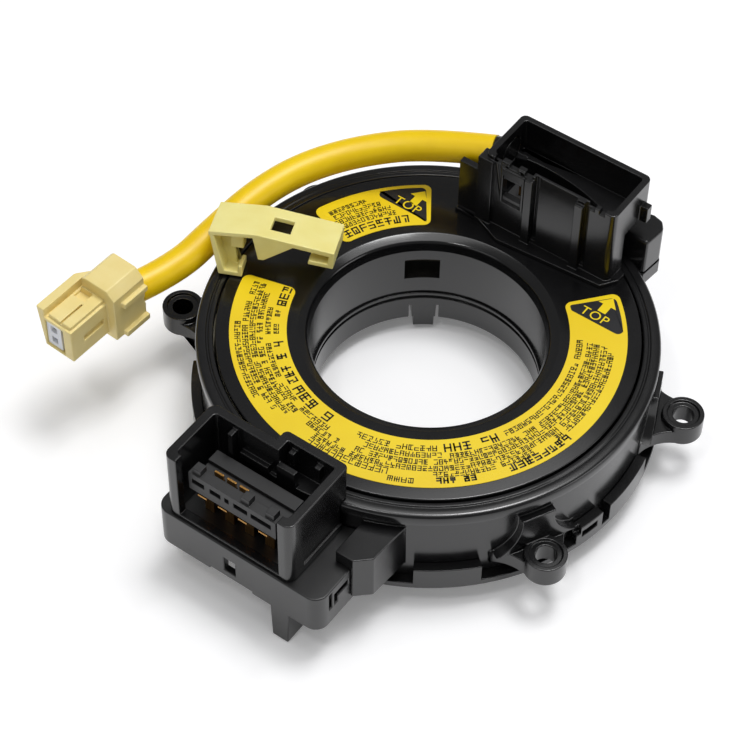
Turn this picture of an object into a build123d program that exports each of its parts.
from build123d import *
import os
from math import cos, pi, radians, tan

# Steering clock spring. Millimetres, +Z up the steering axis, origin on the axis at the rear
# seating plane. The upper (wheel side) connector lies on +Y, the lower (column side) one on -Y.

# Clearances
seat_gap = 0.05        # pieces that are snapped or glued together
run_gap = 0.3          # fixed and turning faces that pass each other
swing_gap = 0.9        # height of the turning connector above the fixed one
fit_gap = 0.3          # cable sleeve in a plug or wall

# Turning hub
bore_r = 24.0          # steering column hole
cam_wall = 4.0
cam_top = 6.0          # seam between the cam and the hub sleeve
cam_flange_t = 1.4     # flange that holds the hub to the rear cover
skirt_t = 1.5
skirt_h = 3.0
tab_w = 5.2            # cancelling tabs under the cam
tab_drop = 2.8
tab_angles = (126, 36, -54, -144)
groove_h = 0.8
groove_d = 0.5
sleeve_step = 0.4      # sleeve bore is this much wider than the cam bore
sleeve_wall = 2.0
collar_t = 1.2
disc_r = 43.9
disc_t = 2.0
disc_bevel = 2.6
bevel_drop = 2.9
window_angle = 127.5   # lamp window in the sleeve
window_w = 7.6
window_h = 5.8

# Fixed case
base_t = 1.6
wall_t = 1.9
wall_height = 18.6
rim_room = 1.5         # from the disc's edge to the case wall
cover_t = 1.5
cover_lip = 0.7
cover_lip_h = 1.2
disc_proud = 0.3       # disc above the cover ring
rim_gap = 0.4          # disc's edge to the cover ring
base_lip_t = 1.2
base_rim = 2.2         # rear cover's skirt beyond the case wall
base_rim_h = 6.0
clip_slot = 1.6

# Fastening lugs
lug_r = 4.4
lug_hole_r = 2.15
lug_z = 4.2
lug_t = 5.1
lug_dish = 0.5
lug_root = 9.6         # half width of the arm at the wall
lug_angles = (23.5, -28.3, 197.5, 151.2)
lug_reaches = (7.0, 5.2, 7.5, 7.0)   # hole centres beyond the case wall
lug_dish_w = 1.2       # dish beyond the hole
gusset_foot = 9.0
gusset_top = 3.8
gusset_t = 1.6

# Guard beside the turning connector, part on the case and part on the cover ring
guard_beyond = 3.9     # from the connector's end wall
guard_w = 8.6
guard_set = 2.4        # front face inside the disc's radius
guard_z0 = 15.3        # foot of its lower half, on the case
guard_out = 1.8        # beyond the cover ring
guard_h = 6.6

# Flat ribbon inside
ribbon_t = 0.5
ribbon_turns = 5.5
ribbon_z = 9.4
ribbon_h = 8.6
ribbon_start = 75      # azimuth of the inner end
block_t = 3.0
block_width = 12.0

# Lower connector
tray_x = -21.0
tray_len = 40.4
tray_front = 16.0      # tray front beyond the cover ring
tray_z = 3.6
tray_h = 10.4
tray_wall = 1.6
tray_corner = 3.0
tray_window_x = -3.9
tray_window_w = 2.7
tray_window_z = 2.6
tray_window_h = 4.2
tray_notch_x = -7.6    # shallow step in the tray's lower edge
tray_notch_w = 10.4
tray_notch_h = 0.7
flank_z = 5.5          # underside of the block that joins tray and case
flank_w = 4.2
deck_h = 3.5           # that block above the tray
foot_x = 7.3
foot_w = 4.7
foot_d = 5.4
foot_drop = 9.6
foot_taper = 0.4
tower_x = -18.3
tower_len = 30.7
tower_h = 18.0
tower_wall = 2.0
tower_back = 0.5       # main rear wall inside the cover ring's edge
tower_setback = 0.6
bay_x = -2.8
sill_h = 1.0
post_w = 3.2
post_len = 4.2
post_proud = 0.5       # front posts beyond the side walls
bar_x = -14.2
bar_len = 21.2
bar_setback = 2.4
bar_z = 8.0
bar_h = 5.0
bar_t = 2.4
bar_deck = 1.6
bar_slots = ((0.8, 3.0), (5.2, 2.6), (8.8, 1.0), (11.0, 3.3), (15.2, 4.8))
bar_slot_z = 2.2
bar_slot_h = 1.3
bar_slot_d = 1.4
bar_lands = (0.8, 12.6, 18.6)
bar_land_w = 2.0
bar_land_h = 1.5
front_pin_x = 2.8
front_pitch = 4.95
front_pins = 4
rear_pin_x = 4.3
rear_pitch = 3.05
rear_pins = 3
rear_pin_back = 1.6    # behind the bar
rear_pin_h = 3.4
pin_w = 2.2
pin_t = 0.5

# Upper connector
head_x = -8.5
head_len = 31.8
head_depth = 14.5
head_h = 20.3
head_wall = 1.4
head_setback = 12.0    # front face inside the disc's edge
head_corner = 1.4
plinth_t = 1.0
plinth_step = 1.7
wing_len = 6.2
wing_h = 14.4
wing_t = 1.6
end_block_w = 3.6      # raised block at the cable end of the front wall
end_block_out = 0.8
end_block_drop = 1.0
frame_x = 4.3          # window frame, from the connector's end
frame_w = 5.7
frame_z = 8.6
frame_h = 10.2
frame_rib = 0.6
window_z = 10.6
window_up = 5.0
rib_places = (10.3, 22.5)
rib_w = 2.0
rib_out = 0.9
rib_slot = 1.1
band_h = 3.6           # sloping band under the rim
band_d = 0.8
notch_places = ((2.3, 1.7), (6.0, 2.0), (9.8, 1.8), (25.1, 1.7), (28.0, 1.2))
notch_h = 1.1
head_floor = 4.0
head_pins = 6
head_pitch = 3.6
head_pin_h = 9.0
head_pin_w = 1.9
carrier_end = 3.0      # carrier short of the connector's end walls
carrier_w = 6.0
carrier_h = 5.0

# Labels
label_t = 0.12
label_rim = 2.9        # from the disc's edge to the label
label_w = 11.84
main_label_ends = (-165.5, 50.0)
small_label_ends = (124.0, 162.0)
label_corner = 1.6

# Harness: route of the sleeve's centre line
sleeve_d = 6.8
gland_r = 3.2
gland_len = 5.0
route = [
    (-10.3, 39.2, 35.9),
    (-24.6, 35.0, 33.0),
    (-36.2, 27.1, 30.5),
    (-44.1, 16.7, 29.2),
    (-48.3, 5.6, 27.6),
    (-50.4, -6.3, 25.0),
    (-52.3, -18.2, 21.9),
    (-56.8, -29.2, 21.7),
]

# Harness plug
plug_heading = -3.0    # turn of the plug about Z
plug_offset = -2.0     # plug's own middle beside the sleeve's
plug_len = 19.8
plug_left = -3.7       # left wall at the floor
plug_right = 4.2
plug_lean = 1.5        # left wall leans out by this much up to the rail's top
plug_deck_h = 8.8
plug_rail_h = 11.0
plug_rail_w = 2.0
plug_tongue_h = 9.7
plug_tongue_gap = 0.6
plug_block_left = -2.6
plug_block_right = 6.4
plug_block_len = 9.1
plug_block_drop = 1.2  # rear block below the plug's floor
plug_block_h = 12.6
plug_chamfer = 2.0
plug_hollow_len = 3.0  # hollow in the tongue before the rear block
plug_grip_w = 1.0
plug_grip_t = 1.4
plug_grip_len = 7.0
plug_slot_z = 3.6
plug_slot_h = 1.6
plug_floor_z = 17.5
plug_bore = 2.0
mouth_left = -3.2
mouth_w = 5.0
mouth_z = 0.7
insert_w = 4.0
insert_h = 7.2
insert_len = 7.0
insert_hole_w = 1.6
srs_pin_w = 0.8

# Harness clip
clip_corner = (-47.0, -12.8)
clip_heading = 24.8
clip_tilt = 11.9
clip_len = 26.7
clip_w = 11.1
clip_t = 1.1
clip_crease = 10.1     # place of the fold in the strap
clip_rise = 0.8
clip_fall = 1.9
clip_leg = 10.6
clip_lean = 2.4
clip_foot_w = 4.5
clip_foot_len = 4.9
clip_foot_h = 1.6
clip_wedge_x = 1.1     # wedge tip beyond the fold
clip_wedge_h = 5.5
clip_wedge_w = 3.0
clip_hook_h = 4.0
clip_hook_len = 5.6
clip_window = (2.4, 4.2, 3.1, 4.6)

# Derived places
cam_r = bore_r + cam_wall
sleeve_in = bore_r + sleeve_step
sleeve_r = sleeve_in + sleeve_wall
skirt_in = sleeve_r + seat_gap
skirt_r = skirt_in + skirt_t
hub_r = max(cam_r, skirt_r)
base_hole = hub_r + run_gap
base_lip_r = base_hole + base_lip_t
base_lip_top = cam_top + skirt_h - 0.1
flange_r = base_lip_r + 0.5
cam_bottom = -run_gap - cam_flange_t
tab_bottom = cam_bottom - tab_drop
cover_in = disc_r + rim_gap
wall_in = disc_r + rim_room
wall_r = wall_in + wall_t
cover_r = wall_r + cover_lip
guard_y0 = disc_r - guard_set
wall_top = base_t + wall_height
cover_top = wall_top + cover_t
disc_top = cover_top + disc_proud
disc_z = disc_top - disc_t
collar_z = base_lip_top + run_gap
collar_r = base_lip_r
base_r = wall_r + seat_gap + base_rim
lug_top = lug_z + lug_t
label_out = disc_r - label_rim
label_in = label_out - label_w

cover_lip_z = wall_top - cover_lip_h

tray_y = -(cover_r + tray_front)
tray_x1 = tray_x + tray_len
tray_top = tray_z + tray_h
tower_y0 = tray_y + tower_setback
tower_y1 = -(cover_r - tower_back)
bay_y1 = -(disc_r + 2 * run_gap)
tower_x1 = tower_x + tower_len
tower_top = tray_top + tower_h
over_ring = disc_top      # fixed pieces reach inside the cover ring's edge only above this
bar_y = tower_y0 + bar_setback
bar_bottom = tray_top + bar_z
swing_z = tower_top + swing_gap

head_y0 = disc_r - head_setback
head_y1 = head_y0 + head_depth
head_x1 = head_x + head_len
head_top = disc_top + head_h
far = 2 * (cover_r + tray_front)


# Basic forms

def block(x0, x1, y0, y1, z0, z1):
    body = Box(x1 - x0, y1 - y0, z1 - z0)
    return Pos((x0 + x1) / 2, (y0 + y1) / 2, (z0 + z1) / 2) * body


def disc(r, z0, z1):
    return Pos(0, 0, (z0 + z1) / 2) * Cylinder(r, z1 - z0)


def ring(r_in, r_out, z0, z1):
    return Pos(0, 0, z0) * extrude(Circle(r_out) - Circle(r_in), z1 - z0, dir=(0, 0, 1))


def sector_face(r_in, r_out, a0, a1):
    outer = CenterArc((0, 0), r_out, a0, a1 - a0)
    inner = CenterArc((0, 0), r_in, a0, a1 - a0)
    return make_face([outer, Line(outer @ 1, inner @ 1), inner, Line(inner @ 0, outer @ 0)])


def sector(r_in, r_out, a0, a1, z0, z1):
    return Pos(0, 0, z0) * extrude(sector_face(r_in, r_out, a0, a1), z1 - z0, dir=(0, 0, 1))


def prism(points, z0, z1):
    face = make_face(Polyline(*points, close=True))
    return Pos(0, 0, z0) * extrude(face, z1 - z0, dir=(0, 0, 1))


def side_prism(points, y0, y1):
    # Outline in X and Z, drawn out along Y
    face = Plane.XZ * make_face(Polyline(*points, close=True))
    return Pos(0, y0, 0) * extrude(face, y1 - y0, dir=(0, 1, 0))


def rounded_block(x0, x1, y0, y1, z0, z1, corner):
    outline = Pos((x0 + x1) / 2, (y0 + y1) / 2) * RectangleRounded(x1 - x0, y1 - y0, corner)
    return Pos(0, 0, z0) * extrude(outline, z1 - z0, dir=(0, 0, 1))


def half_angle(width, r):
    # Half the angle, in degrees, that a chord of this width takes at a radius
    return width / r * 90 / pi


# Turning pieces

def make_rotor_disc():
    body = ring(sleeve_in, disc_r, disc_z, disc_top)
    body += ring(sleeve_in, sleeve_r, cam_top + seat_gap, disc_z)
    body += ring(sleeve_r, collar_r, collar_z, collar_z + collar_t)
    # Glossy bevel that leads from the label face into the bore
    slope = [
        (sleeve_in, disc_top - bevel_drop),
        (sleeve_in + disc_bevel, disc_top),
        (sleeve_in, disc_top),
    ]
    body -= revolve(Plane.XZ * make_face(Polyline(*slope, close=True)), Axis.Z)
    half = half_angle(window_w, sleeve_in)
    low = collar_z + collar_t + 0.2
    body -= sector(
        sleeve_in - 1, sleeve_r + 1, window_angle - half, window_angle + half, low, low + window_h
    )
    rim = body.edges().filter_by(GeomType.CIRCLE).filter_by(lambda e: abs(e.radius - disc_r) < 0.01)
    return chamfer(rim.sort_by(Axis.Z)[-1], 0.3)


def make_cancel_cam():
    body = ring(bore_r, cam_r, cam_bottom, cam_top)
    body += ring(skirt_in, skirt_r, cam_top, cam_top + skirt_h)
    body += ring(bore_r + 1, flange_r, cam_bottom, -run_gap)
    groove_z = cam_top - 2 * groove_h
    body -= ring(bore_r - 1, bore_r + groove_d, groove_z, groove_z + groove_h)
    for angle in tab_angles:
        half = half_angle(tab_w, cam_r)
        body += sector(bore_r, cam_r, angle - half, angle + half, tab_bottom, cam_bottom)
        for side in (-1, 1):
            edge = angle + side * (half + half_angle(clip_slot, cam_r))
            slit = half_angle(clip_slot / 2, cam_r)
            body -= sector(bore_r - 1, cam_r + 3, edge - slit, edge + slit, cam_bottom - 1, 2.2)
    return body


def make_label(ends):
    face = sector_face(label_in, label_out, *ends)
    face = fillet(face.vertices(), label_corner)
    return Pos(0, 0, disc_top) * extrude(face, label_t, dir=(0, 0, 1))


def ribbon_run():
    # Inner and outer radius of the coiled ribbon's centre line
    inner = sleeve_r + seat_gap + block_t + ribbon_t
    outer = wall_in - run_gap - ribbon_t
    return inner, outer


def make_ribbon():
    inner, outer = ribbon_run()
    halves = round(2 * ribbon_turns)
    step = (outer - inner) / halves
    # Half turns, alternately centred on either side of the axis
    faces = Sketch()
    for i in range(halves):
        r = inner + (i + 0.5) * step
        start = 0 if i % 2 == 0 else 180
        shift = -step / 2 if i % 2 == 0 else step / 2
        faces += Pos(shift, 0) * sector_face(r - ribbon_t / 2, r + ribbon_t / 2, start, start + 180)
    coil = extrude(faces, ribbon_h, dir=(0, 0, 1))
    return Rot(0, 0, ribbon_start) * Pos(0, 0, ribbon_z) * coil


def make_hub_block():
    r0 = sleeve_r + seat_gap
    half = half_angle(block_width, r0)
    z0 = collar_z + collar_t
    return sector(r0, r0 + block_t, ribbon_start - half, ribbon_start + half, z0, ribbon_z + ribbon_h)


def make_stator_block():
    outer = wall_in - seat_gap
    half = half_angle(block_width, outer)
    middle = ribbon_start + 360 * ribbon_turns
    z0 = base_t
    lug = sector(outer - block_t, outer, middle - half, middle + half, z0, ribbon_z - run_gap)
    return lug


# Fixed pieces

def lug_shape(reach):
    # One lug in its own frame, arm along +X from the case wall to the hole
    pitch = wall_r + reach
    root = wall_r - wall_t / 2
    neck = lug_r * 0.98
    upper = ThreePointArc((root, lug_root), (wall_r + 2.0, lug_root * 0.62), (pitch, neck))
    lower = ThreePointArc((pitch, -neck), (wall_r + 2.0, -lug_root * 0.62), (root, -lug_root))
    outline = [
        Line((root, -lug_root), (root, lug_root)),
        upper,
        Line((pitch, neck), (pitch, -neck)),
        lower,
    ]
    arm = extrude(make_face(outline), lug_t * 0.72, dir=(0, 0, 1))
    boss = extrude(Pos(pitch, 0) * Circle(lug_r), lug_t, dir=(0, 0, 1))
    body = Pos(0, 0, lug_z) * (arm + boss)
    # Tall web from the lug up to the cover ring's lip
    top = wall_top - cover_lip_h - 2.0
    foot = lug_z + lug_t * 0.7
    web = [
        Line((-gusset_foot, foot), (gusset_foot, foot)),
        ThreePointArc(
            (gusset_foot, foot), (gusset_top + 0.9, (foot + top) / 2 - 1.0), (gusset_top, top)
        ),
        Line((gusset_top, top), (-gusset_top, top)),
        ThreePointArc(
            (-gusset_top, top), (-gusset_top - 0.9, (foot + top) / 2 - 1.0), (-gusset_foot, foot)
        ),
    ]
    web_face = Plane.YZ * make_face(web)
    start = wall_r - wall_t / 2
    body += Pos(start, 0, 0) * extrude(web_face, wall_t / 2 + gusset_t, dir=(1, 0, 0))
    # Dish and hole
    body -= Pos(pitch, 0) * disc(lug_hole_r + lug_dish_w, lug_top - lug_dish, lug_top + 1)
    body -= Pos(pitch, 0) * disc(lug_hole_r, 0, lug_top + 1)
    return body


def flank_shape(side, z0, z1):
    # Block beside the tray, chamfered at its outer corner, for a side at this x
    front = tray_y + 10.2
    outline = [
        (side, -(wall_r - 14)),
        (side + flank_w, -(wall_r - 6.6)),
        (side + flank_w - 0.6, front + 2.8),
        (side + 0.6, front),
        (side, front),
    ]
    return prism(outline, z0, z1)


def guard_shape(z0, z1):
    x1 = head_x1 + guard_beyond
    x0 = x1 - guard_w
    y1 = cover_r + guard_out
    outline = [
        (x0, guard_y0),
        (x1 - 0.6, guard_y0),
        (x1, y1 - 2.6),
        (x1 - 1.4, y1 - 0.6),
        (x1 - 3.8, y1),
        (x0, y1 - 1),
    ]
    return prism(outline, z0, z1)


def make_stator_case():
    body = ring(wall_in, wall_r, base_t, wall_top)
    for angle, reach in zip(lug_angles, lug_reaches):
        body += Rot(0, 0, angle) * lug_shape(reach)
    # Blocks that join the case to the lower connector
    side = tray_x1 + seat_gap
    top = tray_top + deck_h
    joint = flank_shape(side, flank_z, top)
    joint += block(side - 3.6, side, tray_y + 10.2, -(wall_r - 6), tray_top + seat_gap, top)
    joint += mirror(flank_shape(seat_gap - tray_x, flank_z, tray_top), Plane.YZ)
    inside = disc(wall_r - wall_t / 2, 0, far)
    body += joint - inside
    body += guard_shape(guard_z0, cover_lip_z - seat_gap) - inside
    return body


def make_cover_ring():
    body = ring(cover_in, cover_r, wall_top, cover_top)
    body += ring(wall_r + seat_gap, cover_r, cover_lip_z, wall_top)
    rim = body.edges().filter_by(GeomType.CIRCLE).filter_by(
        lambda e: abs(e.radius - cover_r) < 0.01 and abs(e.center().Z - cover_top) < 0.01
    )
    body = fillet(rim, cover_t * 0.7)
    guard = guard_shape(cover_lip_z, disc_top + guard_h) - disc(cover_in, 0, far)
    return body + (guard - disc(wall_r + seat_gap, 0, wall_top))


def make_base_cover():
    body = ring(base_hole, base_r, 0, base_t)
    body += ring(base_hole, base_lip_r, base_t, base_lip_top)
    r0 = wall_r + seat_gap
    rim_arcs = ((36, 139), (164, 184.5), (210.5, 244), (-58, -42), (-6, 11), (-17.2, -8.6))
    for a0, a1 in rim_arcs:
        body += sector(r0, base_r, a0, a1, base_t, base_rim_h)
    # Latch window in the skirt
    body -= sector(r0 - 1, base_r + 1, -15.5, -10.5, base_t + 1.2, base_t + 3.0)
    # The skirt and plate end where the lower connector begins
    skirt_top = base_rim_h + 1
    x0 = tray_x - flank_w - 1
    x1 = tray_x1 + flank_w + 1
    body -= block(x0, x1, tray_y, -wall_r * 0.86, tray_z - seat_gap, skirt_top)
    for angle in lug_angles:
        body -= Rot(0, 0, angle) * block(
            wall_r, far, -lug_root - 1, lug_root + 1, lug_z - seat_gap, skirt_top
        )
    return body


def make_tray():
    back = -(wall_r - wall_t) + 8
    outer = rounded_block(tray_x, tray_x1, tray_y, back, tray_z, tray_top, tray_corner)
    inner = rounded_block(
        tray_x + tray_wall,
        tray_x1 - tray_wall,
        tray_y + tray_wall,
        back,
        tray_z - 1,
        tray_top - tray_wall,
        tray_corner - tray_wall,
    )
    body = outer - inner
    body -= disc(base_r + seat_gap, -1, base_rim_h + seat_gap)
    body -= disc(wall_r + seat_gap, 0, far)
    # Latch window and shallow step in the front wall
    z = tray_z + tray_window_z
    wall_y = tray_y + tray_wall + 1
    body -= block(tray_window_x, tray_window_x + tray_window_w, tray_y - 1, wall_y, z, z + tray_window_h)
    step = tray_notch_x + tray_notch_w
    body -= block(tray_notch_x, step, tray_y - 1, wall_y, tray_z - 1, tray_z + tray_notch_h)
    # Latch slots in the right side: an upright one and an L
    slot_x = tray_x1 - tray_wall - 1
    slot_z = tray_top - 5.8
    for y0, y1, z0, z1 in (
        (3.4, 4.4, slot_z, tray_top - 1.0),
        (5.2, 6.2, slot_z, tray_top - 2.4),
        (5.2, 9.6, tray_top - 4.0, tray_top - 2.4),
    ):
        body -= block(slot_x, tray_x1 + 1, tray_y + y0, tray_y + y1, z0, z1)
    # Locating foot under the front wall
    x0 = foot_x
    x1 = foot_x + foot_w
    z1 = tray_z + 2.0
    z0 = tray_z - foot_drop
    foot = side_prism(
        [(x0, z1), (x1, z1), (x1 - foot_taper, z0), (x0 + foot_taper, z0)], tray_y, tray_y + foot_d
    )
    return body + foot


def tower_outline(inset, z0, z1):
    main = rounded_block(
        tower_x + inset, tower_x1 - inset, tower_y0 + inset, tower_y1 - inset, z0, z1, 1.8 - inset / 2
    )
    bay = rounded_block(
        bay_x + inset, tower_x1 - inset, tower_y1 - 4, bay_y1 - inset, z0, z1, 1.2 - inset / 3
    )
    return main + bay


def make_tower():
    outer = tower_outline(0, tray_top + seat_gap, tower_top)
    outer -= disc(cover_r + run_gap, 0, over_ring)
    hollow = tower_outline(tower_wall, tray_top - 1, tower_top + 1)
    hollow -= disc(cover_r + run_gap + tower_wall, 0, over_ring + tower_wall)
    body = outer - hollow
    # Side walls set back behind the front posts, with a rib at their foot
    back = tower_y0 + post_len
    for x in (tower_x - 1, tower_x1 - post_proud):
        body -= block(x, x + 1 + post_proud, back, 0, tray_top + 2 * sill_h, tower_top - 1.6)
    # Tall front window between two posts
    body -= block(
        tower_x + post_w,
        tower_x1 - post_w,
        tower_y0 - 1,
        tower_y0 + tower_wall + 1,
        tray_top + sill_h,
        tower_top + 1,
    )
    # Ledge and rib on the rear wall, and latch tabs in the bay
    face = tower_y1 - tower_wall
    body += block(tower_x + 8.6, bay_x, face - 1.2, face, bar_bottom + 2, bar_bottom + 4)
    body += block(tower_x + 6.4, tower_x + 7.6, face - 2.0, face, bar_bottom - 2, tower_top - 1)
    bay_face = bay_y1 - tower_wall
    for x in (bay_x + 3.0, bay_x + 9.2):
        body += block(x, x + 1.4, bay_face - 1.4, bay_face, tower_top - 5.0, tower_top - 1.4)
    # Divider between the main well and the bay
    body += block(bay_x + tower_wall, bay_x + 6.4, face - 1.0, face + 0.4, bar_bottom - 2, tower_top - 3.6)
    return body


def make_carrier():
    x1 = bar_x + bar_len
    deck_z = bar_bottom + bar_deck
    back = tower_y1 - tower_wall - 2.4
    body = block(bar_x, x1, bar_y, bar_y + bar_t, bar_bottom, bar_bottom + bar_h)
    body += block(bar_x, x1, bar_y, back, bar_bottom, deck_z)
    body += block(bar_x, x1, back - 3.0, back, tray_top + seat_gap, deck_z + 1)
    # Slots in the bar's face and raised lands on its top
    slot_z = bar_bottom + bar_slot_z
    for start, width in bar_slots:
        x = bar_x + start
        body -= block(x, x + width, bar_y - 1, bar_y + bar_slot_d, slot_z, slot_z + bar_slot_h)
    top = bar_bottom + bar_h
    for start in bar_lands:
        x = bar_x + start
        body += block(x, x + bar_land_w, bar_y + 0.4, bar_y + bar_t, top, top + bar_land_h)
    # Openings for the rear pins
    for x in rear_pin_places():
        body -= block(
            x - pin_w / 2 - seat_gap,
            x + pin_w / 2 + seat_gap,
            rear_pin_y() - seat_gap,
            rear_pin_y() + pin_t + seat_gap,
            bar_bottom - 1,
            deck_z + 1,
        )
    return body


def rear_pin_y():
    return bar_y + bar_t + rear_pin_back


def rear_pin_places():
    return [bar_x + rear_pin_x + i * rear_pitch for i in range(rear_pins)]


def front_pin_places():
    return [bar_x + front_pin_x + i * front_pitch for i in range(front_pins)]


def make_front_terminals():
    pins = []
    z0 = tray_top + seat_gap
    z1 = bar_bottom - 1.2
    for x in front_pin_places():
        stem = block(x - pin_w / 2, x + pin_w / 2, bar_y + bar_t, bar_y + bar_t + pin_t, z0, z1)
        blade = block(x - pin_w / 2, x + pin_w / 2, bar_y + 0.4, bar_y + bar_t, z1 - pin_t, z1)
        pins.append(stem + blade)
    return Compound(children=pins)


def make_rear_terminals():
    pins = []
    y = rear_pin_y()
    for x in rear_pin_places():
        pins.append(
            block(x - pin_w / 2, x + pin_w / 2, y, y + pin_t, tray_top + seat_gap, bar_bottom + rear_pin_h)
        )
    return Compound(children=pins)


# Upper connector, turning with the hub

def front_detail(z0):
    # Raised block, window frame and ribs on the front wall, above the plinth
    end_x = head_x - 1.2
    end_y = head_y0 - end_block_out
    body = block(end_x, end_x + end_block_w, end_y, head_y0 + 2.4, z0, head_top - end_block_drop)
    x = head_x + frame_x
    frame_y = head_y0 - rib_out / 2
    bottom = disc_top + frame_z
    frame = block(x, x + frame_w, frame_y, head_y0 + 0.2, bottom, bottom + frame_h)
    opening_top = bottom + frame_h - 2
    body += frame - block(x + frame_rib, x + frame_w - frame_rib, 0, far, bottom + frame_rib, opening_top)
    for place in rib_places:
        x = head_x + place
        body += block(x, x + rib_w, head_y0 - rib_out, head_y0 + 0.2, z0, head_top - 0.8)
    return body


def make_head():
    outer = rounded_block(head_x, head_x1, head_y0, head_y1, disc_top + label_t, head_top, head_corner)
    low_limit = disc(disc_r, disc_top, swing_z)
    high = block(-far, far, -far, far, swing_z, head_top + 1)
    outer = outer & (low_limit + high)
    hollow = rounded_block(
        head_x + head_wall,
        head_x1 - head_wall,
        head_y0 + head_wall,
        head_y1 - head_wall,
        disc_top + head_floor,
        head_top + 1,
        0.8,
    )
    roof = swing_z + head_wall
    hollow = hollow & (disc(disc_r - head_wall, disc_top, roof) + block(-far, far, -far, far, roof, far))
    # Plinth on the disc and the wing beside the cable end
    step = head_y0 - plinth_step
    plinth = prism(
        [
            (head_x - wing_len, head_y0 - 0.9),
            (head_x - 0.4, head_y0 - 0.9),
            (head_x + 6.1, step - 1.9),
            (head_x1 - 0.8, step),
            (head_x1 + 1.5, head_y0 + 1.7),
            (head_x1 + 2.1, far),
            (head_x - wing_len, far),
        ],
        disc_top,
        disc_top + plinth_t,
    )
    outer += plinth & disc(disc_r, disc_top, swing_z)
    wing_y = head_y0 + wing_t
    outer += block(head_x - wing_len, head_x + 0.4, head_y0, wing_y, disc_top + plinth_t, disc_top + wing_h)
    outer += front_detail(disc_top + plinth_t)
    body = outer - hollow
    # Latch window, and a groove beside each rib
    wall_y = head_y0 + head_wall + 1
    x = head_x + frame_x + frame_rib
    z = disc_top + window_z
    body -= block(x, x + frame_w - 2 * frame_rib, head_y0 - 1, wall_y, z, z + window_up)
    for place in rib_places:
        x = head_x + place + rib_w
        body -= block(x, x + rib_slot, head_y0 - 1, head_y0 + 0.8, disc_top + 2, head_top + 1)
    # Sloping band under the rim, between the ribs
    low = head_top - band_h
    over = head_top + 1
    slope = [(head_y0, low), (head_y0 - 1, low), (head_y0 - 1, over), (head_y0 + band_d, over)]
    band = Plane.YZ * make_face(Polyline(*slope, close=True))
    band_x = head_x + rib_places[0] + rib_w + rib_slot
    band_len = rib_places[1] - rib_places[0] - rib_w - rib_slot
    body -= Pos(band_x, 0, 0) * extrude(band, band_len, dir=(1, 0, 0))
    # Notches in the rim of the front wall
    for place, width in notch_places:
        x = head_x + place
        body -= block(x, x + width, head_y0 - 1, wall_y, head_top - notch_h, head_top + 1)
    # Side rib on the right wall, above the swing line
    rib_y = head_y1 - 2.1
    body += block(head_x1 - 0.2, head_x1 + 1.8, rib_y - 1.8, rib_y, swing_z, swing_z + 4.2)
    # Hole for the cable gland
    body -= gland_rod(gland_r + fit_gap, 1.0)
    return body


def route_frame():
    a = Vector(*route[0])
    b = Vector(*route[1])
    return Plane(origin=a, z_dir=a - b)


def gland_rod(r, extra):
    # Rod from the sleeve's end back into the connector's end wall
    return route_frame() * extrude(Circle(r), gland_len + extra)


def make_gland():
    inside = block(head_x + head_wall, far, -far, far, 0, far)
    body = gland_rod(gland_r, 0) - inside
    return body


def make_upper_carrier():
    z0 = disc_top + head_floor + seat_gap
    side = head_wall + seat_gap
    y0 = head_y0 + side
    body = block(
        head_x + side + carrier_end,
        head_x1 - side - carrier_end,
        y0,
        y0 + carrier_w,
        z0,
        z0 + carrier_h,
    )
    body = body & disc(disc_r - side, z0, head_top)
    half = pin_t / 2 + seat_gap
    pin_y = head_pin_y()
    for x in head_pin_places():
        body -= block(x - half, x + half, pin_y - seat_gap, pin_y + head_pin_w + seat_gap, z0 - 1, head_top)
    return body


def head_pin_y():
    return head_y0 + head_wall + (carrier_w - head_pin_w) / 2


def head_pin_places():
    middle = (head_x + head_x1) / 2
    return [middle + (i - (head_pins - 1) / 2) * head_pitch for i in range(head_pins)]


def make_upper_terminals():
    z0 = disc_top + head_floor + seat_gap
    y0 = head_pin_y()
    pins = []
    for x in head_pin_places():
        pins.append(block(x - pin_t / 2, x + pin_t / 2, y0, y0 + head_pin_w, z0, z0 + head_pin_h))
    return Compound(children=pins)


# Harness

def route_radii():
    points = [Vector(*p) for p in route]
    radii = []
    for before, corner, after in zip(points, points[1:], points[2:]):
        turn = radians((corner - before).get_angle(after - corner))
        run = min((corner - before).length, (after - corner).length)
        radii.append(0.45 * run / tan(turn / 2))
    return radii


def make_harness_tube():
    path = FilletPolyline(*route, radius=route_radii())
    start = Plane(origin=path @ 0, z_dir=path % 0)
    tube = sweep(start * Circle(sleeve_d / 2), path=path)
    section = pi * sleeve_d ** 2 / 4
    print("harness tube length", round(path.length, 1), "volume ratio", tube.volume / section / path.length)
    print("harness radii", [round(r, 1) for r in route_radii()])
    return tube


def plug_place(body):
    # Plug's own frame: rear face at y = 0, mouth towards -y
    end = Vector(*route[-1])
    inset = Pos(plug_offset, plug_bore - fit_gap, 0)
    return Pos(end.X, end.Y, 0) * Rot(0, 0, plug_heading) * inset * body


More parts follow.
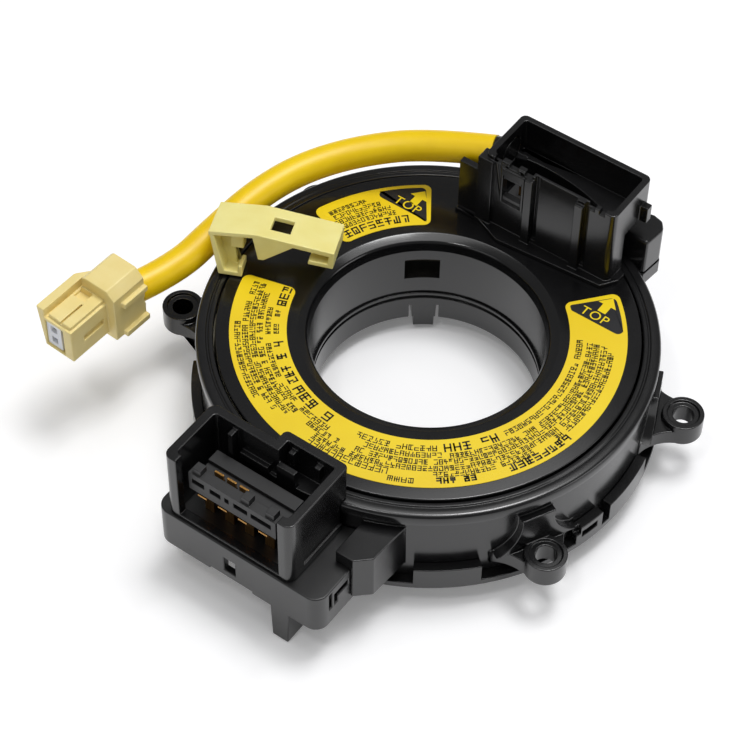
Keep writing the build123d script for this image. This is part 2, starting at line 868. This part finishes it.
def make_plug_housing():
    z0 = plug_floor_z
    deck = z0 + plug_deck_h
    rail_top = z0 + plug_rail_h
    deck_left = plug_left - plug_lean * plug_deck_h / plug_rail_h
    rail_left = plug_left - plug_lean
    rail_in = rail_left + plug_rail_w
    outline = [
        (plug_left, z0),
        (plug_right, z0),
        (plug_right, deck),
        (rail_in, deck),
        (rail_in, rail_top),
        (rail_left, rail_top),
        (deck_left, deck),
    ]
    body = side_prism(outline, -plug_len, 0.8 - plug_block_len)
    # Rear block with its roof chamfered on the right
    top = z0 + plug_block_h
    low = z0 - plug_block_drop
    roof = [
        (plug_block_left, low),
        (plug_block_right, low),
        (plug_block_right, top - plug_chamfer),
        (plug_block_right - plug_chamfer, top),
        (plug_block_left + 0.9, top),
        (plug_block_left, top - 0.9),
    ]
    body += side_prism(roof, -plug_block_len, 0)
    # Cheek that leads from the rail up to the rear block
    cheek = [
        (rail_left, 0.8 - plug_block_len),
        (rail_in, 0.8 - plug_block_len),
        (plug_block_left + 1, -5.0),
        (plug_block_left, -5.0),
    ]
    body += prism(cheek, deck - 1, rail_top)
    # Latch tongue with a groove, and the hollow before the rear block
    tongue_x = rail_in + plug_tongue_gap
    tongue_x1 = plug_right - 0.6
    tongue = block(tongue_x, tongue_x1, 0.7 - plug_len, -plug_block_len, deck - 0.2, z0 + plug_tongue_h)
    groove_x = tongue_x1 - 2.8
    tongue -= block(groove_x, groove_x + 0.4, -plug_len, 1 - plug_len + 6.0, deck, top)
    hollow_y = -plug_block_len - plug_hollow_len
    body = body + tongue - block(
        tongue_x, groove_x, hollow_y, -plug_block_len - 0.4, deck - 0.6, top
    )
    # Mouth that holds the insert
    z = z0 + mouth_z
    body -= block(
        mouth_left, mouth_left + mouth_w, -plug_len - 1, insert_len - plug_len, z, z + insert_h
    )
    # Side slot and two grip ribs
    slot_z = z0 + plug_slot_z
    front = 3.7 - plug_len
    back = -plug_block_len - 1.2
    body -= block(plug_right - 0.8, plug_right + 1, front, back, slot_z, slot_z + plug_slot_h)
    grip_x = plug_block_right + plug_grip_w
    for z in (low, z0 + plug_deck_h - plug_grip_t):
        body += block(plug_block_right - 0.2, grip_x, -plug_grip_len, 0, z, z + plug_grip_t)
    # Recess in line with the sleeve's end
    end = Vector(*route[-1])
    along = Plane(origin=end, z_dir=Vector(*route[-2]) - end)
    recess = along * Pos(0, 0, -fit_gap) * extrude(Circle(sleeve_d / 2 + fit_gap), 3 * plug_bore)
    return plug_place(body) - recess


def make_plug_insert():
    x0 = mouth_left + seat_gap
    z0 = plug_floor_z + mouth_z + seat_gap
    front = 0.4 - plug_len
    back = insert_len - plug_len - seat_gap
    body = block(x0, x0 + insert_w, front, back, z0, z0 + insert_h - 2 * seat_gap)
    hole_x = x0 + (insert_w - insert_hole_w) / 2
    for z in srs_pin_heights():
        body -= block(hole_x, hole_x + insert_hole_w, front - 1, back - 2.0, z - 0.8, z + 0.8)
    return plug_place(body)


def srs_pin_heights():
    z0 = plug_floor_z + mouth_z
    return [z0 + insert_h * k for k in (0.28, 0.72)]


def make_srs_terminals():
    x = mouth_left + seat_gap + insert_w / 2
    half = srs_pin_w / 2
    back = insert_len - plug_len - 2.0 - 2 * seat_gap
    pins = []
    for z in srs_pin_heights():
        pins.append(block(x - half, x + half, 2.0 - plug_len, back, z - 0.5, z + 0.5))
    return plug_place(Compound(children=pins))


def make_harness_clip():
    # Own frame: x along the strap, y to the rear, z away from it, origin at its top corner
    t = clip_t
    end_z = clip_rise - clip_fall
    hook_z = end_z - clip_hook_h
    strap = side_prism(
        [
            (0, 0),
            (clip_crease, clip_rise),
            (clip_len, end_z),
            (clip_len - 0.2, hook_z),
            (clip_len - clip_hook_len, hook_z + 0.4),
            (clip_len - clip_hook_len + 0.2, hook_z + 1.4),
            (clip_len - 1.4, hook_z + 1.1),
            (clip_len - 1.2, end_z - t),
            (clip_crease, clip_rise - t),
            (0, -t),
        ],
        0,
        clip_w,
    )
    x, window_len, y, window_w = clip_window
    x += clip_crease
    strap -= block(x, x + window_len, y, y + window_w, -2 * clip_hook_h, clip_hook_h)
    # Wedge that leans against the sleeve
    x0 = clip_crease - 0.9
    tip = clip_crease + clip_wedge_x
    wedge = side_prism(
        [
            (x0, clip_rise - t / 2),
            (tip - 0.6, -clip_wedge_h),
            (tip + 0.6, -clip_wedge_h),
            (x0 + 9.3, clip_rise - t - 0.6),
        ],
        0,
        clip_wedge_w,
    )
    # Channel leg with a turned-up foot
    foot = -clip_leg - 1
    lip_x = clip_lean + clip_foot_len
    lip_z = t + clip_foot_h - clip_leg
    leg = side_prism(
        [
            (0, 0),
            (t, -t / 2),
            (t + clip_lean, t - clip_leg),
            (lip_x - 0.9, t - clip_leg),
            (lip_x - 0.9, lip_z),
            (lip_x, lip_z),
            (lip_x, foot),
            (clip_lean, foot),
        ],
        0,
        clip_foot_w,
    )
    web = side_prism(
        [(0, -t / 2), (4.6, -t / 2), (clip_lean + 3.4, foot), (clip_lean, foot)],
        clip_foot_w - t,
        clip_foot_w,
    )
    nub = block(4.4, 7.2, clip_foot_w - 2.6, clip_foot_w, -4.6, -1.4)
    body = strap + wedge + leg + web + nub
    # It leans over the sleeve and stands with its foot on the disc
    seat = disc_top + run_gap
    height = seat + clip_leg * cos(radians(clip_tilt))
    place = Pos(*clip_corner, height) * Rot(0, 0, clip_heading) * Rot(-clip_tilt, 0, 0)
    return place * body - block(-far, far, -far, far, 0, seat)


pieces = {
    "stator_case": make_stator_case,
    "stator_cover_ring": make_cover_ring,
    "stator_base_cover": make_base_cover,
    "connector_tray": make_tray,
    "connector_shroud": make_tower,
    "terminal_carrier": make_carrier,
    "front_terminals": make_front_terminals,
    "rear_terminals": make_rear_terminals,
    "stator_ribbon_block": make_stator_block,
    "ribbon_cable": make_ribbon,
    "rotor_disc": make_rotor_disc,
    "cancel_cam": make_cancel_cam,
    "main_label": lambda: make_label(main_label_ends),
    "small_label": lambda: make_label(small_label_ends),
    "upper_connector_housing": make_head,
    "upper_terminal_carrier": make_upper_carrier,
    "upper_terminals": make_upper_terminals,
    "cable_gland": make_gland,
    "hub_ribbon_block": make_hub_block,
    "harness_tube": make_harness_tube,
    "harness_clip": make_harness_clip,
    "srs_plug_housing": make_plug_housing,
    "srs_plug_insert": make_plug_insert,
    "srs_terminals": make_srs_terminals,
}

os.makedirs("parts", exist_ok=True)
for name, make in pieces.items():
    export_step(make(), "parts/" + name + ".step")
